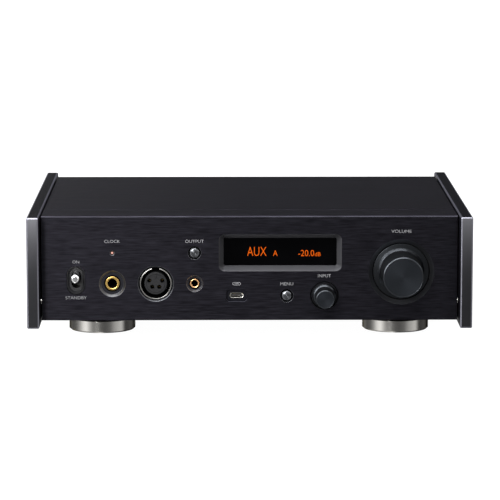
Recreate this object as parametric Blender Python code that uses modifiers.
"""Desktop digital-to-analogue converter with headphone sockets, built as separate pieces.

Units are metres. The front faces -Y, +X is to the right of a person facing it, +Z is up, and the
feet stand on z = 0. x = 0 and y = 0 are the middle of the whole depth and width.
"""
import math

import bmesh
import bpy
from mathutils import Matrix, Vector

MM = 0.001
CLEARANCE = 0.3 * MM
MERGE = 0.00001

# Overall size, knob nose and feet included.
WIDTH = 290 * MM
DEPTH = 249 * MM
HEIGHT = 84.5 * MM

# Casing.
SIDE_THICKNESS = 8 * MM
SIDE_HEIGHT = 73 * MM
SIDE_FRONT_Y = -DEPTH / 2 + 8.5 * MM
SIDE_REAR_Y = DEPTH / 2
SIDE_BOTTOM_Z = HEIGHT - SIDE_HEIGHT
SIDE_INNER_X = WIDTH / 2 - SIDE_THICKNESS
INSIDE_X = SIDE_INNER_X - CLEARANCE
FACE_HALF_WIDTH = SIDE_INNER_X - 0.8 * MM
FACE_Y = SIDE_FRONT_Y + 16 * MM
FACE_THICKNESS = 8 * MM
FACE_BACK_Y = FACE_Y + FACE_THICKNESS
FACE_BOTTOM_Z = 14.4 * MM
TOP_Z = HEIGHT - 1.1 * MM
TOP_THICKNESS = 2.5 * MM
TOP_SEAM_Y = FACE_Y + 30 * MM
SHEET = 2 * MM
REAR_FACE_Y = SIDE_REAR_Y - 18 * MM
REAR_BACK_Y = REAR_FACE_Y - SHEET
SUBPANEL_Y = FACE_BACK_Y + CLEARANCE
SUBPANEL_BACK_Y = SUBPANEL_Y + SHEET
BOTTOM_Z = FACE_BOTTOM_Z
FLOOR_Z = BOTTOM_Z + SHEET
CEILING_Z = TOP_Z - TOP_THICKNESS

# Rows and columns of the front controls.
UPPER_ROW_Z = 59.1 * MM
JACK_ROW_Z = 38.7 * MM
LOWER_ROW_Z = 30.7 * MM
POWER_X = -113.7 * MM
POWER_Z = 40.9 * MM
PHONE_X = -89.9 * MM
XLR_X = -61.5 * MM
BALANCED_X = -36.0 * MM
FRONT_USB_X = -8.5 * MM
MENU_X = 24.4 * MM
INPUT_X = 49.1 * MM
VOLUME_X = 99.4 * MM
VOLUME_Z = 46.3 * MM
DISPLAY_X = 20.1 * MM
DISPLAY_WIDTH = 74.2 * MM
DISPLAY_HEIGHT = 18.2 * MM
BEZEL_SLOPE = 3 * MM
BEZEL_DEPTH = 5 * MM
WINDOW_OVERLAP = 1.4 * MM
WINDOW_THICKNESS = 2.4 * MM

# Control board, which carries the switches and rotary encoders.
BOARD_THICKNESS = 1.6 * MM
BOARD_Y = FACE_Y + 20 * MM
SWITCH_DEPTH = 4.6 * MM
ENCODER_DEPTH = 8 * MM
ENCODER_SIZE = 12.5 * MM
SHAFT_RADIUS = 3 * MM
SHAFT_HOLE_RADIUS = 3.6 * MM

# Power lever: its pin is behind the slot, and it rests tipped up at ON.
LEVER_PIVOT_Y = FACE_Y + 14 * MM
LEVER_ANGLE = math.radians(6)
LEVER_NOSE = 12.8 * MM
ESCUTCHEON_WIDTH = 12.2 * MM
ESCUTCHEON_HEIGHT = 18.8 * MM
SLOT_WIDTH = 6.4 * MM
SLOT_HEIGHT = 11.6 * MM
ESCUTCHEON_FLOOR = 4.2 * MM

# Rear connectors, all on the rear panel.
MAIN_BOARD_Z = FLOOR_Z + 6 * MM
REAR_LOW_Z = MAIN_BOARD_Z + 14 * MM
REAR_HIGH_Z = REAR_LOW_Z + 22 * MM
INLET_X = -110 * MM
TRIGGER_X = -82 * MM
CLOCK_X = -66 * MM
REAR_USB_X = -48 * MM
OPTICAL_X = -26 * MM
COAXIAL_X = -4 * MM
LINE_IN_X = 18 * MM
LINE_OUT_X = 42 * MM
XLR_OUT_LEFT_X = 74 * MM
XLR_OUT_RIGHT_X = 112 * MM
XLR_OUT_Z = MAIN_BOARD_Z + 22 * MM

# Feet: two in front, one in the middle at the rear.
FOOT_RADIUS = 22.3 * MM
FOOT_CUP_HEIGHT = 8 * MM
FOOT_FRONT_Y = SIDE_FRONT_Y + 70 * MM
FOOT_FRONT_X = 98.8 * MM
FOOT_REAR_Y = 78 * MM

FRONT = (math.radians(90), 0, 0)
REAR = (math.radians(-90), 0, 0)
UP = (0, 0, 0)

COLOURS = {
    "black_anodised_aluminium": ((0.030, 0.030, 0.036), 0.42, 0.85),
    "side_panel_aluminium": ((0.050, 0.050, 0.056), 0.45, 0.85),
    "knob_aluminium": ((0.035, 0.037, 0.042), 0.35, 0.85),
    "spun_aluminium": ((0.62, 0.62, 0.64), 0.25, 1.0),
    "satin_nickel": ((0.42, 0.40, 0.37), 0.32, 1.0),
    "chromed_steel": ((0.72, 0.72, 0.72), 0.15, 1.0),
    "gold_plate": ((0.78, 0.55, 0.20), 0.22, 1.0),
    "coated_steel": ((0.045, 0.045, 0.048), 0.55, 0.6),
    "bare_steel": ((0.50, 0.50, 0.50), 0.40, 1.0),
    "black_plastic": ((0.018, 0.018, 0.020), 0.50, 0.0),
    "window_acrylic": ((0.004, 0.004, 0.005), 0.06, 0.0),
    "lamp_acrylic": ((0.95, 0.62, 0.50), 0.25, 0.0),
    "circuit_board": ((0.015, 0.075, 0.035), 0.45, 0.0),
    "transformer_tape": ((0.55, 0.36, 0.06), 0.45, 0.0),
    "capacitor_sleeve": ((0.02, 0.03, 0.07), 0.40, 0.0),
}


def clear_scene():
    for obj in list(bpy.data.objects):
        bpy.data.objects.remove(obj, do_unlink=True)


def make_collection(name):
    collection = bpy.data.collections.new(name)
    bpy.context.scene.collection.children.link(collection)
    return collection


def make_materials():
    for name, (colour, roughness, metallic) in COLOURS.items():
        material = bpy.data.materials.new(name)
        material.use_nodes = True
        material.diffuse_color = (*colour, 1)
        shader = material.node_tree.nodes["Principled BSDF"]
        shader.inputs["Base Color"].default_value = (*colour, 1)
        shader.inputs["Roughness"].default_value = roughness
        shader.inputs["Metallic"].default_value = metallic


def place(name, mesh, material, location=(0, 0, 0), rotation=UP):
    obj = bpy.data.objects.new(name, mesh)
    obj.location = location
    obj.rotation_euler = rotation
    mesh.materials.append(bpy.data.materials[material])
    PARTS.objects.link(obj)
    return obj


def as_cutter(obj):
    PARTS.objects.unlink(obj)
    CUTTERS.objects.link(obj)
    obj.hide_render = True
    obj.display_type = "WIRE"
    return obj


def box(name, low, high, material, bevel=0.0, bevel_segments=2):
    """A block between two corners, with its edges rounded if bevel is given."""
    low, high = Vector(low), Vector(high)
    shape = bmesh.new()
    bmesh.ops.create_cube(shape, size=1)
    bmesh.ops.scale(shape, vec=high - low, verts=shape.verts)
    mesh = bpy.data.meshes.new(name)
    shape.to_mesh(mesh)
    shape.free()
    obj = place(name, mesh, material, (low + high) / 2)
    if bevel:
        rounding = obj.modifiers.new("rounding", "BEVEL")
        rounding.width = bevel
        rounding.segments = bevel_segments
    return obj


def shade_round(mesh):
    mesh.shade_smooth()
    mesh.set_sharp_from_angle(angle=math.radians(35))


def turned(name, profile, material, location, rotation=UP, steps=20):
    """Turn a profile of (radius, height) points about local Z, from its top down its outer side.

    The profile closes on itself, and a stretch that lies on the axis is left out.
    """
    points = [(radius, 0, height) for radius, height in profile]
    edges = [(i, (i + 1) % len(points)) for i in range(len(points))]
    edges = [(i, j) for i, j in edges if profile[i][0] > 0 or profile[j][0] > 0]
    mesh = bpy.data.meshes.new(name)
    mesh.from_pydata(points, edges, [])
    obj = place(name, mesh, material, location, rotation)
    turning = obj.modifiers.new("turning", "SCREW")
    turning.steps = steps
    turning.render_steps = steps
    turning.use_merge_vertices = True
    turning.merge_threshold = MERGE
    turning.use_smooth_shade = True
    return obj


def rounded_outline(width, height, radius, arc_steps=4):
    """Corner arcs of a rounded rectangle about the origin, counter-clockwise."""
    points = []
    corners = ((1, 1, 0), (-1, 1, 90), (-1, -1, 180), (1, -1, 270))
    for sign_x, sign_y, start in corners:
        centre_x = sign_x * (width / 2 - radius)
        centre_y = sign_y * (height / 2 - radius)
        for step in range(arc_steps + 1):
            angle = math.radians(start + 90 * step / arc_steps)
            point = (centre_x + radius * math.cos(angle), centre_y + radius * math.sin(angle))
            if not points or math.dist(point, points[-1]) > MERGE:
                points.append(point)
    if math.dist(points[0], points[-1]) < MERGE:
        points.pop()
    return points


def flat_outline(name, outline, thickness, material, location, rotation=FRONT):
    """A flat piece: a 2D curve filled on both sides and extruded along its local Z."""
    curve = bpy.data.curves.new(name, "CURVE")
    curve.dimensions = "2D"
    curve.fill_mode = "BOTH"
    curve.extrude = thickness / 2
    curve.render_resolution_u = 0
    spline = curve.splines.new("POLY")
    spline.points.add(len(outline) - 1)
    for point, (x, y) in zip(spline.points, outline):
        point.co = (x, y, 0, 1)
    spline.use_cyclic_u = True
    drawn = bpy.data.objects.new(name + "_outline", curve)
    drawn.location = location
    drawn.rotation_euler = rotation
    PARTS.objects.link(drawn)
    bpy.context.view_layer.update()
    evaluated = drawn.evaluated_get(bpy.context.evaluated_depsgraph_get())
    mesh = bpy.data.meshes.new_from_object(evaluated)
    shape = bmesh.new()
    shape.from_mesh(mesh)
    bmesh.ops.remove_doubles(shape, verts=shape.verts, dist=MERGE)
    shape.to_mesh(mesh)
    shape.free()
    obj = place(name, mesh, material)
    obj.matrix_world = drawn.matrix_world
    bpy.data.objects.remove(drawn)
    bpy.data.curves.remove(curve)
    return obj


def lofted(name, rings, material, location, rotation=FRONT):
    """A solid through two or more outlines with equal point counts, each (outline, height)."""
    shape = bmesh.new()
    loops = []
    for outline, height in rings:
        loops.append([shape.verts.new((x, y, height)) for x, y in outline])
    for lower, upper in zip(loops, loops[1:]):
        for i in range(len(lower)):
            j = (i + 1) % len(lower)
            shape.faces.new((lower[i], lower[j], upper[j], upper[i]))
    shape.faces.new(loops[0])
    shape.faces.new(loops[-1])
    bmesh.ops.recalc_face_normals(shape, faces=shape.faces)
    mesh = bpy.data.meshes.new(name)
    shape.to_mesh(mesh)
    shape.free()
    return place(name, mesh, material, location, rotation)


def combine(target, other, operation):
    step = target.modifiers.new(operation.lower(), "BOOLEAN")
    step.operation = operation
    step.solver = "EXACT"
    step.object = as_cutter(other)
    return target


def cut(target, *others):
    for other in others:
        combine(target, other, "DIFFERENCE")
    return target


def join(target, *others):
    for other in others:
        combine(target, other, "UNION")
    return target


def round_hole(name, radius, location, depth, rotation=FRONT, steps=16):
    """A cutter that is a plain round bar centred on its location."""
    profile = [(0, depth / 2), (radius, depth / 2), (radius, -depth / 2), (0, -depth / 2)]
    return turned(name, profile, "black_plastic", location, rotation, steps)


def casing():
    """Flat-pack metal casing: two thick side panels, top, bottom and rear."""
    for name, side in (("side_panel_left", -1), ("side_panel_right", 1)):
        edges_x = sorted((side * SIDE_INNER_X, side * WIDTH / 2))
        low = (edges_x[0], SIDE_FRONT_Y, SIDE_BOTTOM_Z)
        high = (edges_x[1], SIDE_REAR_Y, HEIGHT)
        box(name, low, high, "side_panel_aluminium", bevel=1.4 * MM, bevel_segments=3)

    low = (-FACE_HALF_WIDTH, TOP_SEAM_Y + 0.4 * MM, CEILING_Z)
    high = (FACE_HALF_WIDTH, REAR_FACE_Y + 1 * MM, TOP_Z)
    box("top_cover", low, high, "black_anodised_aluminium", bevel=0.4 * MM)

    low = (-INSIDE_X, SUBPANEL_Y, BOTTOM_Z)
    high = (INSIDE_X, REAR_FACE_Y, FLOOR_Z)
    plate = box("bottom_plate", low, high, "coated_steel")
    for x, y in foot_places():
        cut(plate, round_hole("foot_bolt_hole", 3 * MM, (x, y, BOTTOM_Z), 10 * MM, UP))


def front_panel():
    """Thick front plate with a top return, its dishes, recesses and bezel cut into it."""
    edge = 0.7 * MM
    outline = [
        (FACE_Y, FACE_BOTTOM_Z),
        (FACE_BACK_Y, FACE_BOTTOM_Z),
        (FACE_BACK_Y, CEILING_Z),
        (TOP_SEAM_Y, CEILING_Z),
        (TOP_SEAM_Y, TOP_Z),
        (FACE_Y + edge, TOP_Z),
        (FACE_Y, TOP_Z - edge),
    ]
    along_x = (math.radians(90), 0, math.radians(90))
    panel = flat_outline("front_panel", outline, 2 * FACE_HALF_WIDTH, "black_anodised_aluminium",
                         (0, 0, 0), along_x)

    through = -FACE_THICKNESS - 1 * MM
    proud = 1 * MM
    slot = rounded_outline(ESCUTCHEON_WIDTH, ESCUTCHEON_HEIGHT, ESCUTCHEON_WIDTH / 2)
    cut(panel, lofted("power_recess", [(slot, through), (slot, proud)], "black_plastic",
                      (POWER_X, FACE_Y, POWER_Z)))

    inner = rounded_outline(DISPLAY_WIDTH, DISPLAY_HEIGHT, 1 * MM)
    grow = 2 * BEZEL_SLOPE
    outer = rounded_outline(DISPLAY_WIDTH + grow, DISPLAY_HEIGHT + grow, 3.4 * MM)
    seat_grow = 2 * WINDOW_OVERLAP
    seat = rounded_outline(DISPLAY_WIDTH + seat_grow, DISPLAY_HEIGHT + seat_grow, 1 * MM)
    display_at = (DISPLAY_X, FACE_Y, UPPER_ROW_Z)
    bezel = [(inner, -BEZEL_DEPTH - 1 * MM), (inner, -BEZEL_DEPTH), (outer, 0), (outer, proud)]
    cut(panel, lofted("bezel_slope", bezel, "black_plastic", display_at))
    cut(panel, lofted("window_seat", [(seat, through), (seat, -BEZEL_DEPTH)], "black_plastic",
                      display_at))

    port = rounded_outline(13.2 * MM, 7.6 * MM, 1.6 * MM)
    port_hole = rounded_outline(9.9 * MM, 4.2 * MM, 2.0 * MM)
    port_at = (FRONT_USB_X, FACE_Y, LOWER_ROW_Z)
    cut(panel, lofted("port_recess", [(port, -2.2 * MM), (port, proud)], "black_plastic", port_at))
    cut(panel, lofted("port_hole", [(port_hole, through), (port_hole, proud)], "black_plastic",
                      port_at))

    dishes = (
        ("phone", PHONE_X, JACK_ROW_Z, 8.7, 7.5, 1.6, 5.4),
        ("balanced", BALANCED_X, JACK_ROW_Z, 5.5, 4.7, 1.2, 3.7),
        ("xlr", XLR_X, JACK_ROW_Z, 11.8, 10.9, 1.0, 10.8),
        ("output", BALANCED_X, UPPER_ROW_Z, 4.35, 4.2, 3.4, 3.5),
        ("menu", MENU_X, LOWER_ROW_Z, 4.35, 4.2, 3.4, 3.5),
        ("input", INPUT_X, LOWER_ROW_Z, 9.4, 8.6, 2.0, 5.5),
        ("volume", VOLUME_X, VOLUME_Z, 21.5, 18.8, 2.0, 8.0),
        ("volume_floor", VOLUME_X, VOLUME_Z, 18.8, 18.8, 3.4, 8.0),
        ("lamp", PHONE_X, UPPER_ROW_Z, 1.6, 1.5, 0.6, 1.5),
    )
    for name, x, z, mouth, floor, depth, bore in dishes:
        profile = [
            (0, proud),
            (mouth * MM, proud),
            (mouth * MM, 0),
            (floor * MM, -depth * MM),
            (bore * MM, -depth * MM),
            (bore * MM, through),
            (0, through),
        ]
        if floor == bore:
            del profile[3]
        steps = 32 if mouth > 15 else 20
        cut(panel, turned(name + "_dish", profile, "black_plastic", (x, FACE_Y, z), FRONT, steps))


def front_subpanel():
    """Steel plate behind the front panel that the controls are bolted to."""
    low = (-INSIDE_X, SUBPANEL_Y, FLOOR_Z + CLEARANCE)
    high = (INSIDE_X, SUBPANEL_BACK_Y, CEILING_Z - CLEARANCE)
    plate = box("front_subpanel", low, high, "bare_steel")
    holes = (
        ("phone", PHONE_X, JACK_ROW_Z, 6.0),
        ("balanced", BALANCED_X, JACK_ROW_Z, 4.5),
        ("xlr", XLR_X, JACK_ROW_Z, 11.0),
        ("output", BALANCED_X, UPPER_ROW_Z, 5.6),
        ("menu", MENU_X, LOWER_ROW_Z, 5.6),
        ("input", INPUT_X, LOWER_ROW_Z, 5.5),
        ("volume", VOLUME_X, VOLUME_Z, 5.5),
        ("lamp", PHONE_X, UPPER_ROW_Z, 2.0),
    )
    for name, x, z, radius in holes:
        cut(plate, round_hole(name + "_clearance", radius * MM, (x, SUBPANEL_Y, z), 10 * MM))
    openings = (
        ("power_opening", POWER_X, POWER_Z, 12.8 * MM, 20 * MM),
        ("display_opening", DISPLAY_X, UPPER_ROW_Z, 72 * MM, 18 * MM),
        ("usb_opening", FRONT_USB_X, LOWER_ROW_Z, 10.4 * MM, 4.8 * MM),
    )
    for name, x, z, width, height in openings:
        low = (x - width / 2, SUBPANEL_Y - 1 * MM, z - height / 2)
        high = (x + width / 2, SUBPANEL_BACK_Y + 1 * MM, z + height / 2)
        cut(plate, box(name, low, high, "bare_steel"))


def display():
    """Smoked window behind the bezel and the display module behind the window."""
    grow = 2 * WINDOW_OVERLAP - 2 * CLEARANCE
    outline = rounded_outline(DISPLAY_WIDTH + grow, DISPLAY_HEIGHT + grow, 0.8 * MM, 3)
    front_y = FACE_Y + BEZEL_DEPTH + CLEARANCE
    flat_outline("display_window", outline, WINDOW_THICKNESS, "window_acrylic",
                 (DISPLAY_X, front_y + WINDOW_THICKNESS / 2, UPPER_ROW_Z))
    glass_y = front_y + WINDOW_THICKNESS + CLEARANCE / 2
    low = (DISPLAY_X - 35 * MM, glass_y, UPPER_ROW_Z - 8.5 * MM)
    high = (DISPLAY_X + 35 * MM, SUBPANEL_BACK_Y + 2 * MM, UPPER_ROW_Z + 8.5 * MM)
    module = box("display_module", low, high, "black_plastic")
    low = (DISPLAY_X - 39 * MM, SUBPANEL_BACK_Y + 0.6 * MM, UPPER_ROW_Z - 10.5 * MM)
    high = (DISPLAY_X + 39 * MM, SUBPANEL_BACK_Y + 2.6 * MM, UPPER_ROW_Z + 10.5 * MM)
    join(module, box("display_board", low, high, "black_plastic"))


def encoder(name, x, z, front_y, height):
    """Square rotary encoder body with a round bore for its shaft."""
    half = ENCODER_SIZE / 2
    low = (x - half, front_y, z - half)
    high = (x + half, BOARD_Y - CLEARANCE, z + half)
    body = box(name, low, high, "black_plastic", bevel=0.5 * MM, bevel_segments=1)
    bush = [
        (0, height),
        (4.6 * MM, height),
        (4.6 * MM, -1 * MM),
        (0, -1 * MM),
    ]
    join(body, turned(name + "_bush", bush, "black_plastic", (x, front_y, z), FRONT, 16))
    bore_depth = ENCODER_DEPTH - 1 * MM
    cut(body, round_hole(name + "_bore", SHAFT_HOLE_RADIUS, (x, front_y, z), 2 * bore_depth))


def volume_control():
    """Volume knob with a sunk flange, on an endless rotary encoder."""
    at = (VOLUME_X, FACE_Y, VOLUME_Z)
    nose = FACE_Y + DEPTH / 2
    knob = [
        (0, nose),
        (12.7 * MM, nose),
        (13.3 * MM, nose - 0.6 * MM),
        (13.8 * MM, -0.3 * MM),
        (14.1 * MM, -0.8 * MM),
        (15.3 * MM, -1.9 * MM),
        (17.9 * MM, -2.0 * MM),
        (18.2 * MM, -2.3 * MM),
        (18.2 * MM, -3.1 * MM),
        (3.3 * MM, -3.1 * MM),
        (3.3 * MM, 14 * MM),
        (0, 14 * MM),
    ]
    turned("volume_knob", knob, "knob_aluminium", at, FRONT, 32)
    tail = FACE_Y - BOARD_Y + 3 * MM
    shaft = [(0, 13.6 * MM), (SHAFT_RADIUS, 13.6 * MM), (SHAFT_RADIUS, tail), (0, tail)]
    turned("volume_shaft", shaft, "bare_steel", at, FRONT, 16)
    encoder("volume_encoder", VOLUME_X, VOLUME_Z, BOARD_Y - ENCODER_DEPTH, 5 * MM)


def input_control():
    """Input knob that turns on an endless encoder and presses in against the encoder's plunger."""
    at = (INPUT_X, FACE_Y, LOWER_ROW_Z)
    knob = [
        (0, 17 * MM),
        (5.7 * MM, 17 * MM),
        (6.2 * MM, 16.4 * MM),
        (6.5 * MM, 3.2 * MM),
        (7.3 * MM, 2.4 * MM),
        (7.9 * MM, 1.4 * MM),
        (7.9 * MM, -0.9 * MM),
        (3.3 * MM, -0.9 * MM),
        (3.3 * MM, 10 * MM),
        (0, 10 * MM),
    ]
    turned("input_knob", knob, "knob_aluminium", at, FRONT, 24)
    tail = FACE_Y - BOARD_Y + 3.6 * MM
    shaft = [(0, 9.6 * MM), (SHAFT_RADIUS, 9.6 * MM), (SHAFT_RADIUS, tail), (0, tail)]
    turned("input_shaft", shaft, "bare_steel", at, FRONT, 16)
    encoder("input_encoder", INPUT_X, LOWER_ROW_Z, BOARD_Y - ENCODER_DEPTH, 3 * MM)
    plunger = [
        (0, tail - CLEARANCE),
        (2 * MM, tail - CLEARANCE),
        (2 * MM, tail - 1.6 * MM),
        (0, tail - 1.6 * MM),
    ]
    turned("input_plunger", plunger, "black_plastic", at, FRONT, 12)


def push_button(name, x, z):
    """Domed spun cap on a stem, held behind the panel by its flange, over a tact switch."""
    dome = [
        (0, 0.9 * MM),
        (1.2 * MM, 0.85 * MM),
        (2.2 * MM, 0.6 * MM),
        (2.9 * MM, 0.1 * MM),
        (3.15 * MM, -0.6 * MM),
        (3.15 * MM, -FACE_THICKNESS - 0.6 * MM),
        (5.0 * MM, -FACE_THICKNESS - 0.6 * MM),
        (5.0 * MM, -FACE_THICKNESS - 1.8 * MM),
        (1.5 * MM, -FACE_THICKNESS - 1.8 * MM),
        (1.5 * MM, FACE_Y - BOARD_Y + SWITCH_DEPTH + 1.3 * MM),
        (0, FACE_Y - BOARD_Y + SWITCH_DEPTH + 1.3 * MM),
    ]
    turned(name + "_button", dome, "spun_aluminium", (x, FACE_Y, z), FRONT, 16)
    half = 3 * MM
    low = (x - half, BOARD_Y - SWITCH_DEPTH, z - half)
    high = (x + half, BOARD_Y - CLEARANCE, z + half)
    box(name + "_switch", low, high, "black_plastic", bevel=0.3 * MM, bevel_segments=1)


def power_switch():
    """Toggle lever in a slotted escutcheon, and the switch body that its pin turns in."""
    outer = rounded_outline(ESCUTCHEON_WIDTH - 2 * CLEARANCE, ESCUTCHEON_HEIGHT - 2 * CLEARANCE,
                            ESCUTCHEON_WIDTH / 2 - CLEARANCE)
    wall_top = rounded_outline(ESCUTCHEON_WIDTH - 1.4 * MM, ESCUTCHEON_HEIGHT - 1.4 * MM,
                               ESCUTCHEON_WIDTH / 2 - 0.7 * MM)
    wall_foot = rounded_outline(ESCUTCHEON_WIDTH - 3.4 * MM, ESCUTCHEON_HEIGHT - 3.4 * MM,
                                ESCUTCHEON_WIDTH / 2 - 1.7 * MM)
    slot = rounded_outline(SLOT_WIDTH, SLOT_HEIGHT, SLOT_WIDTH / 2)
    at = (POWER_X, FACE_Y, POWER_Z)
    back = -FACE_THICKNESS
    tray = lofted("power_escutcheon", [(outer, back), (outer, -0.5 * MM)], "black_plastic", at)
    bowl = [(wall_foot, -ESCUTCHEON_FLOOR), (wall_top, -0.5 * MM), (wall_top, 1 * MM)]
    cut(tray, lofted("escutcheon_bowl", bowl, "black_plastic", at))
    cut(tray, lofted("escutcheon_slot", [(slot, back - 1 * MM), (slot, 1 * MM)], "black_plastic", at))

    body_front = FACE_Y + FACE_THICKNESS + CLEARANCE
    low = (POWER_X - 6 * MM, body_front, POWER_Z - 9.5 * MM)
    high = (POWER_X + 6 * MM, body_front + 20 * MM, POWER_Z + 9.5 * MM)
    body = box("power_switch_body", low, high, "black_plastic", bevel=0.5 * MM, bevel_segments=1)
    room = 3.5 * MM
    low = (POWER_X - room, body_front - 1 * MM, POWER_Z - 6.5 * MM)
    high = (POWER_X + room, LEVER_PIVOT_Y + 5 * MM, POWER_Z + 6.5 * MM)
    cut(body, box("switch_chamber", low, high, "black_plastic"))

    pivot = (POWER_X, LEVER_PIVOT_Y, POWER_Z)
    reach = LEVER_PIVOT_Y - FACE_Y + LEVER_NOSE
    lever = [
        (0, reach),
        (1.4 * MM, reach - 0.15 * MM),
        (2.2 * MM, reach - 0.7 * MM),
        (2.5 * MM, reach - 1.6 * MM),
        (2.5 * MM, reach - 4 * MM),
        (2.1 * MM, 8 * MM),
        (2.1 * MM, 4.5 * MM),
        (3.0 * MM, 1.2 * MM),
        (3.0 * MM, -1.2 * MM),
        (1.5 * MM, -3.2 * MM),
        (0, -3.6 * MM),
    ]
    tilt = (math.radians(90) - LEVER_ANGLE, 0, 0)
    turned("power_lever", lever, "chromed_steel", pivot, tilt, 14)


def clock_lamp():
    """Light pipe from the lamp on the control board to the front face."""
    tail = FACE_Y - BOARD_Y + CLEARANCE
    pipe = [
        (0, 0.1 * MM),
        (0.7 * MM, 0),
        (1.15 * MM, -0.4 * MM),
        (1.15 * MM, tail),
        (0, tail),
    ]
    turned("clock_lamp", pipe, "lamp_acrylic", (PHONE_X, FACE_Y, UPPER_ROW_Z), FRONT, 12)


def ring(name, outer, inner, front, back, material, location, rotation=FRONT, steps=20, edge=0.3):
    """Metal ring or sleeve with its front edges broken, radii and heights in millimetres."""
    profile = [
        (inner + edge, front),
        (outer - edge, front),
        (outer, front - edge),
        (outer, back),
        (inner, back),
        (inner, front - edge),
    ]
    return turned(name, [(r * MM, h * MM) for r, h in profile], material, location, rotation, steps)


def jack(name, x, bore, body_radius, body_depth):
    """Socket body behind the panel with a blind bore for the plug."""
    front = -FACE_THICKNESS - 0.3 * MM
    tail = -body_depth
    profile = [
        (bore, front),
        (body_radius, front),
        (body_radius, tail),
        (0, tail),
        (0, tail + 2 * MM),
        (bore, tail + 2 * MM),
    ]
    turned(name, profile, "black_plastic", (x, FACE_Y, JACK_ROW_Z), FRONT, 20)


def headphone_sockets():
    """6.3 mm and 4.4 mm jacks, the four-pole XLR socket and the front data port."""
    jack("phone_jack_body", PHONE_X, 3.2 * MM, 5.6 * MM, 38 * MM)
    ring("phone_jack_ring", 4.75, 3.2, -0.9, -8.0, "gold_plate", (PHONE_X, FACE_Y, JACK_ROW_Z))
    jack("balanced_jack_body", BALANCED_X, 2.25 * MM, 4.2 * MM, 30 * MM)
    ring("balanced_jack_ring", 3.2, 2.25, -0.7, -8.0, "gold_plate", (BALANCED_X, FACE_Y, JACK_ROW_Z))

    at = (XLR_X, FACE_Y, JACK_ROW_Z)
    shell = [
        (9.7 * MM, 0.2 * MM),
        (10.1 * MM, 0.2 * MM),
        (10.4 * MM, -0.1 * MM),
        (10.4 * MM, -24 * MM),
        (9.5 * MM, -24 * MM),
        (9.5 * MM, 0),
    ]
    shell = turned("xlr_shell", shell, "chromed_steel", at, FRONT, 24)
    low = (XLR_X - 2.5 * MM, FACE_Y - 1 * MM, JACK_ROW_Z + 8 * MM)
    high = (XLR_X + 2.5 * MM, FACE_Y + 6 * MM, JACK_ROW_Z + 12 * MM)
    cut(shell, box("xlr_keyway", low, high, "chromed_steel"))
    insert = [
        (0, -0.6 * MM),
        (7.3 * MM, -0.6 * MM),
        (7.75 * MM, -1.0 * MM),
        (7.75 * MM, -20 * MM),
        (9.2 * MM, -20 * MM),
        (9.2 * MM, -26 * MM),
        (0, -26 * MM),
    ]
    insert = turned("xlr_insert", insert, "black_plastic", at, FRONT, 24)
    for x, z in ((-4.3, 1.9), (-2.3, -2.3), (2.3, -2.3), (4.3, 1.9)):
        pin_at = (XLR_X + x * MM, FACE_Y, JACK_ROW_Z + z * MM)
        cut(insert, round_hole("xlr_contact", 1.15 * MM, pin_at, 24 * MM, steps=8))

    outer = rounded_outline(9.2 * MM, 3.5 * MM, 1.7 * MM)
    inner = rounded_outline(8.5 * MM, 2.8 * MM, 1.38 * MM)
    port_at = (FRONT_USB_X, FACE_Y, LOWER_ROW_Z)
    shell = lofted("front_usb_shell", [(outer, -12 * MM), (outer, -1.6 * MM)], "chromed_steel",
                   port_at)
    cut(shell, lofted("front_usb_mouth", [(inner, -10.5 * MM), (inner, 0)], "chromed_steel", port_at))
    low = (FRONT_USB_X - 3.4 * MM, FACE_Y + 3.0 * MM, LOWER_ROW_Z - 0.35 * MM)
    high = (FRONT_USB_X + 3.4 * MM, FACE_Y + 10.2 * MM, LOWER_ROW_Z + 0.35 * MM)
    box("front_usb_tongue", low, high, "black_plastic")


def control_board():
    """Board behind the controls: full height on the right, a strip above the jacks on the left."""
    inner_x = INSIDE_X - 8 * MM
    strip_z = 53 * MM
    top_z = CEILING_Z - 4 * MM
    low_z = FLOOR_Z + 3 * MM
    left_x = FRONT_USB_X - 14 * MM
    outline = [
        (-inner_x, strip_z),
        (left_x, strip_z),
        (left_x, low_z),
        (inner_x, low_z),
        (inner_x, top_z),
        (-inner_x, top_z),
    ]
    flat_outline("control_board", outline, BOARD_THICKNESS, "circuit_board",
                 (0, BOARD_Y + BOARD_THICKNESS / 2, 0))


def rear_panel():
    low = (-INSIDE_X, REAR_BACK_Y, FLOOR_Z + CLEARANCE)
    high = (INSIDE_X, REAR_FACE_Y, CEILING_Z - CLEARANCE)
    plate = box("rear_panel", low, high, "coated_steel")
    round_holes = [(TRIGGER_X, REAR_LOW_Z, 4.4), (CLOCK_X, REAR_HIGH_Z, 6.4)]
    for x in (COAXIAL_X, LINE_IN_X, LINE_OUT_X):
        round_holes += [(x, REAR_LOW_Z, 5.0), (x, REAR_HIGH_Z, 5.0)]
    round_holes += [(XLR_OUT_LEFT_X, XLR_OUT_Z, 11.6), (XLR_OUT_RIGHT_X, XLR_OUT_Z, 11.6)]
    for x, z, radius in round_holes:
        cut(plate, round_hole("rear_hole", radius * MM, (x, REAR_FACE_Y, z), 10 * MM))
    openings = (
        (INLET_X, XLR_OUT_Z, 28, 21),
        (REAR_USB_X, REAR_LOW_Z, 12.8, 11.6),
        (OPTICAL_X, REAR_LOW_Z, 11.6, 11.6),
        (OPTICAL_X, REAR_HIGH_Z, 11.6, 11.6),
    )
    for x, z, width, height in openings:
        half = Vector((width / 2 * MM, 5 * MM, height / 2 * MM))
        centre = Vector((x, REAR_FACE_Y, z))
        cut(plate, box("rear_opening", centre - half, centre + half, "coated_steel"))


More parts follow.
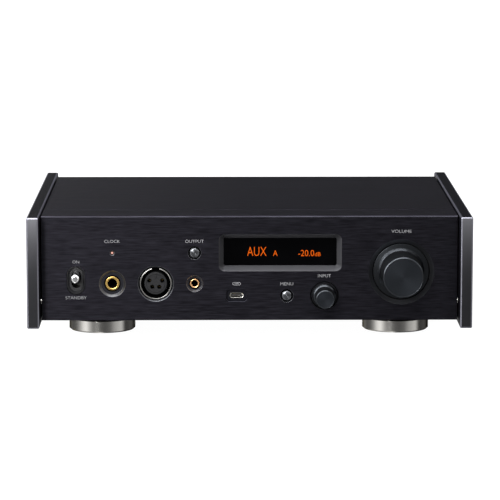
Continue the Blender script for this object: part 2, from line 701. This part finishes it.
def mains_inlet():
    """Three-pole appliance inlet with an open cavity and three blades."""
    at = (INLET_X, REAR_FACE_Y, XLR_OUT_Z)
    flange = rounded_outline(31 * MM, 24.5 * MM, 3 * MM, 4)
    barrel = rounded_outline(27.2 * MM, 20.2 * MM, 2.5 * MM, 4)
    cavity = rounded_outline(24.4 * MM, 16.4 * MM, 4 * MM, 4)
    body = lofted("mains_inlet", [(barrel, -22 * MM), (barrel, 1 * MM)], "black_plastic", at, REAR)
    join(body, lofted("inlet_flange", [(flange, 0.3 * MM), (flange, 3 * MM)], "black_plastic", at,
                      REAR))
    cut(body, lofted("inlet_cavity", [(cavity, -14 * MM), (cavity, 4 * MM)], "black_plastic", at,
                     REAR))
    for x, z in ((-7, -2), (0, 2.5), (7, -2)):
        low = (INLET_X + (x - 1) * MM, REAR_FACE_Y - 16 * MM, XLR_OUT_Z + (z - 2) * MM)
        high = (INLET_X + (x + 1) * MM, REAR_FACE_Y - 2 * MM, XLR_OUT_Z + (z + 2) * MM)
        join(body, box("inlet_blade", low, high, "black_plastic"))


def rca_block(name, x):
    """Two stacked phono sockets that share one moulded block behind the panel."""
    low = (x - 6 * MM, REAR_BACK_Y - 12 * MM, REAR_LOW_Z - 9 * MM)
    high = (x + 6 * MM, REAR_BACK_Y - CLEARANCE, REAR_HIGH_Z + 7 * MM)
    block = box(name, low, high, "black_plastic")
    for z in (REAR_LOW_Z, REAR_HIGH_Z):
        barrel = [
            (0, 9 * MM),
            (3.7 * MM, 9 * MM),
            (4.1 * MM, 8.6 * MM),
            (4.1 * MM, 1.2 * MM),
            (4.7 * MM, 1.2 * MM),
            (4.7 * MM, -4 * MM),
            (0, -4 * MM),
        ]
        join(block, turned("rca_barrel", barrel, "black_plastic", (x, REAR_FACE_Y, z), REAR, 14))
        cut(block, round_hole("rca_bore", 1.6 * MM, (x, REAR_FACE_Y + 9 * MM, z), 16 * MM, REAR, 8))


def rear_sockets():
    """Phono, coaxial, clock, trigger and data sockets of the rear panel."""
    rca_block("coaxial_inputs", COAXIAL_X)
    rca_block("line_inputs", LINE_IN_X)
    rca_block("line_outputs", LINE_OUT_X)

    clock_at = (CLOCK_X, REAR_FACE_Y, REAR_HIGH_Z)
    bore, core, floor = 3.9 * MM, 2.1 * MM, 2 * MM
    bnc = [
        (0, 11.5 * MM),
        (core, 11.5 * MM),
        (core, floor),
        (bore, floor),
        (bore, 13 * MM),
        (4.8 * MM, 12.6 * MM),
        (4.8 * MM, 4 * MM),
        (6.0 * MM, 3.6 * MM),
        (6.0 * MM, -14 * MM),
        (0, -14 * MM),
    ]
    socket = turned("clock_socket", bnc, "bare_steel", clock_at, REAR, 16)
    lug = [(0, 6.6 * MM), (0.9 * MM, 6.6 * MM), (0.9 * MM, -6.6 * MM), (0, -6.6 * MM)]
    lug_at = (CLOCK_X, REAR_FACE_Y + 9.5 * MM, REAR_HIGH_Z)
    join(socket, turned("bayonet_lugs", lug, "bare_steel", lug_at, UP, 8))
    gap = [(core, 14 * MM), (bore, 14 * MM), (bore, floor), (core, floor)]
    cut(socket, turned("clock_socket_gap", gap, "bare_steel", clock_at, REAR, 16))

    trigger = [
        (1.75 * MM, 2 * MM),
        (3.9 * MM, 1.8 * MM),
        (4.1 * MM, 1.5 * MM),
        (4.1 * MM, -14 * MM),
        (0, -14 * MM),
        (0, -12 * MM),
        (1.75 * MM, -12 * MM),
    ]
    turned("trigger_jack", trigger, "black_plastic", (TRIGGER_X, REAR_FACE_Y, REAR_LOW_Z), REAR, 14)

    outer = rounded_outline(12.0 * MM, 10.8 * MM, 0.6 * MM, 2)
    inner = rounded_outline(8.6 * MM, 7.9 * MM, 0.5 * MM, 2)
    port_at = (REAR_USB_X, REAR_FACE_Y, REAR_LOW_Z)
    port = lofted("rear_usb_port", [(outer, -16 * MM), (outer, 1.2 * MM)], "bare_steel", port_at, REAR)
    cut(port, lofted("rear_usb_mouth", [(inner, -10 * MM), (inner, 2 * MM)], "bare_steel", port_at,
                     REAR))
    low = (REAR_USB_X - 2.8 * MM, REAR_FACE_Y - 11 * MM, REAR_LOW_Z - 1.6 * MM)
    high = (REAR_USB_X + 2.8 * MM, REAR_FACE_Y - 1.5 * MM, REAR_LOW_Z + 1.6 * MM)
    join(port, box("rear_usb_tongue", low, high, "bare_steel"))


OPTICAL_CAVITY = 8.4 * MM
SHUTTER_SIZE = 7.8 * MM
SHUTTER_THICKNESS = 0.8 * MM
SHUTTER_AXIS_DROP = 0.7 * MM
SHUTTER_INSET = 1.4 * MM


def optical_input(number, z):
    """Optical receiver with a square mouth, closed by a sprung shutter hinged at its top edge."""
    half = 5.5 * MM
    low = (OPTICAL_X - half, REAR_FACE_Y - 14 * MM, z - half)
    high = (OPTICAL_X + half, REAR_FACE_Y + 1.5 * MM, z + half)
    body = box(f"optical_receiver_{number}", low, high, "black_plastic")
    half = OPTICAL_CAVITY / 2
    low = (OPTICAL_X - half, REAR_FACE_Y - 10.6 * MM, z - half)
    high = (OPTICAL_X + half, REAR_FACE_Y + 3 * MM, z + half)
    cut(body, box("optical_mouth", low, high, "black_plastic"))

    hinge_y = REAR_FACE_Y + 1.5 * MM - SHUTTER_INSET
    hinge_z = z + OPTICAL_CAVITY / 2 - SHUTTER_AXIS_DROP
    low = Vector((-SHUTTER_SIZE / 2, -SHUTTER_THICKNESS / 2, -SHUTTER_SIZE + SHUTTER_AXIS_DROP))
    high = Vector((SHUTTER_SIZE / 2, SHUTTER_THICKNESS / 2, SHUTTER_THICKNESS / 2))
    shutter = box(f"optical_shutter_{number}", low, high, "black_plastic")
    shutter.data.transform(Matrix.Translation((low + high) / 2))
    shutter.location = (OPTICAL_X, hinge_y, hinge_z)


def balanced_output(name, x):
    """Male XLR socket: round cup with a flange and three pins."""
    cup = [
        (9.4 * MM, 2.2 * MM),
        (12.6 * MM, 2.2 * MM),
        (12.9 * MM, 1.9 * MM),
        (12.9 * MM, 0.3 * MM),
        (11.2 * MM, 0.3 * MM),
        (11.2 * MM, -20 * MM),
        (0, -20 * MM),
        (0, -14 * MM),
        (9.4 * MM, -14 * MM),
    ]
    cup = turned(name, cup, "bare_steel", (x, REAR_FACE_Y, XLR_OUT_Z), REAR, 24)
    for angle in (30, 150, 270):
        reach = 5.2 * MM
        pin_x = x + reach * math.cos(math.radians(angle))
        pin_z = XLR_OUT_Z + reach * math.sin(math.radians(angle))
        pin = [
            (0, -1.5 * MM),
            (1.2 * MM, -2.2 * MM),
            (1.2 * MM, -15 * MM),
            (0, -15 * MM),
        ]
        join(cup, turned("output_pin", pin, "bare_steel", (pin_x, REAR_FACE_Y, pin_z), REAR, 8))


def boards():
    """Main board on the right of the casing and power board beside the transformers."""
    low = (-58 * MM, -50 * MM, MAIN_BOARD_Z)
    high = (128 * MM, REAR_BACK_Y - 14.5 * MM, MAIN_BOARD_Z + BOARD_THICKNESS)
    box("main_board", low, high, "circuit_board")
    low = (-50 * MM, -46 * MM, MAIN_BOARD_Z + 32 * MM)
    high = (40 * MM, 48 * MM, MAIN_BOARD_Z + 32 * MM + BOARD_THICKNESS)
    box("digital_board", low, high, "circuit_board")


def power_supply():
    """Two ring-core transformers, two filter capacitors and the regulators' heat sink."""
    for name, y in (("transformer_front", -20 * MM), ("transformer_rear", 50 * MM)):
        half_height = 18 * MM
        outer = 33 * MM
        round_over = 5 * MM
        profile = [
            (9 * MM, half_height - 2 * MM),
            (12 * MM, half_height),
            (outer - round_over, half_height),
            (outer - round_over * 0.3, half_height - round_over * 0.3),
            (outer, half_height - round_over),
            (outer, round_over - half_height),
            (outer - round_over * 0.3, round_over * 0.3 - half_height),
            (outer - round_over, -half_height),
            (12 * MM, -half_height),
            (9 * MM, 2 * MM - half_height),
        ]
        centre = (-96 * MM, y, FLOOR_Z + 2 * MM + half_height)
        turned(name, profile, "transformer_tape", centre, UP, 16)
    top = MAIN_BOARD_Z + BOARD_THICKNESS + CLEARANCE
    for number, (x, y) in enumerate(((56, -30), (78, -30)), 1):
        profile = [
            (0, 30 * MM),
            (8.2 * MM, 30 * MM),
            (9 * MM, 29.2 * MM),
            (9 * MM, 0),
            (0, 0),
        ]
        turned(f"filter_capacitor_{number}", profile, "capacitor_sleeve", (x * MM, y * MM, top), UP, 14)
    low = (100 * MM, -40 * MM, top)
    high = (122 * MM, 30 * MM, top + 32 * MM)
    sink = box("heat_sink", low, high, "bare_steel")
    for groove in range(5):
        x = (103 + 3.6 * groove) * MM
        low = (x, -41 * MM, top + 5 * MM)
        high = (x + 1.8 * MM, 31 * MM, top + 33 * MM)
        cut(sink, box("heat_sink_groove", low, high, "bare_steel"))


def foot_places():
    return (
        (-FOOT_FRONT_X, FOOT_FRONT_Y),
        (FOOT_FRONT_X, FOOT_FRONT_Y),
        (0, FOOT_REAR_Y),
    )


def feet():
    """Pinpoint feet: a spike bolted to the casing stands in a dished metal cup."""
    names = ("front_left", "front_right", "rear")
    cup = [
        (3.4 * MM, 3.4 * MM),
        (11 * MM, 6.2 * MM),
        (13 * MM, FOOT_CUP_HEIGHT),
        (FOOT_RADIUS - 0.4 * MM, FOOT_CUP_HEIGHT),
        (FOOT_RADIUS, FOOT_CUP_HEIGHT - 0.4 * MM),
        (FOOT_RADIUS, 0.9 * MM),
        (FOOT_RADIUS - 0.9 * MM, 0),
        (0, 0),
        (0, 2.4 * MM),
    ]
    spike = [
        (0, BOTTOM_Z + 3 * MM),
        (2.6 * MM, BOTTOM_Z + 3 * MM),
        (2.6 * MM, BOTTOM_Z - CLEARANCE),
        (17 * MM, BOTTOM_Z - CLEARANCE),
        (17 * MM, FOOT_CUP_HEIGHT + 1 * MM),
        (9 * MM, FOOT_CUP_HEIGHT + 1 * MM),
        (0, 2.8 * MM),
    ]
    for name, (x, y) in zip(names, foot_places()):
        turned(f"foot_cup_{name}", cup, "satin_nickel", (x, y, 0), UP, 32)
        turned(f"foot_spike_{name}", spike, "chromed_steel", (x, y, 0), UP, 16)


clear_scene()
PARTS = make_collection("desktop_dac")
CUTTERS = make_collection("cutters")
make_materials()
casing()
front_panel()
front_subpanel()
display()
volume_control()
input_control()
push_button("output", BALANCED_X, UPPER_ROW_Z)
push_button("menu", MENU_X, LOWER_ROW_Z)
power_switch()
clock_lamp()
headphone_sockets()
control_board()
rear_panel()
mains_inlet()
rear_sockets()
optical_input(1, REAR_LOW_Z)
optical_input(2, REAR_HIGH_Z)
balanced_output("balanced_output_left", XLR_OUT_LEFT_X)
balanced_output("balanced_output_right", XLR_OUT_RIGHT_X)
boards()
power_supply()
feet()
for part in PARTS.objects:
    shade_round(part.data)
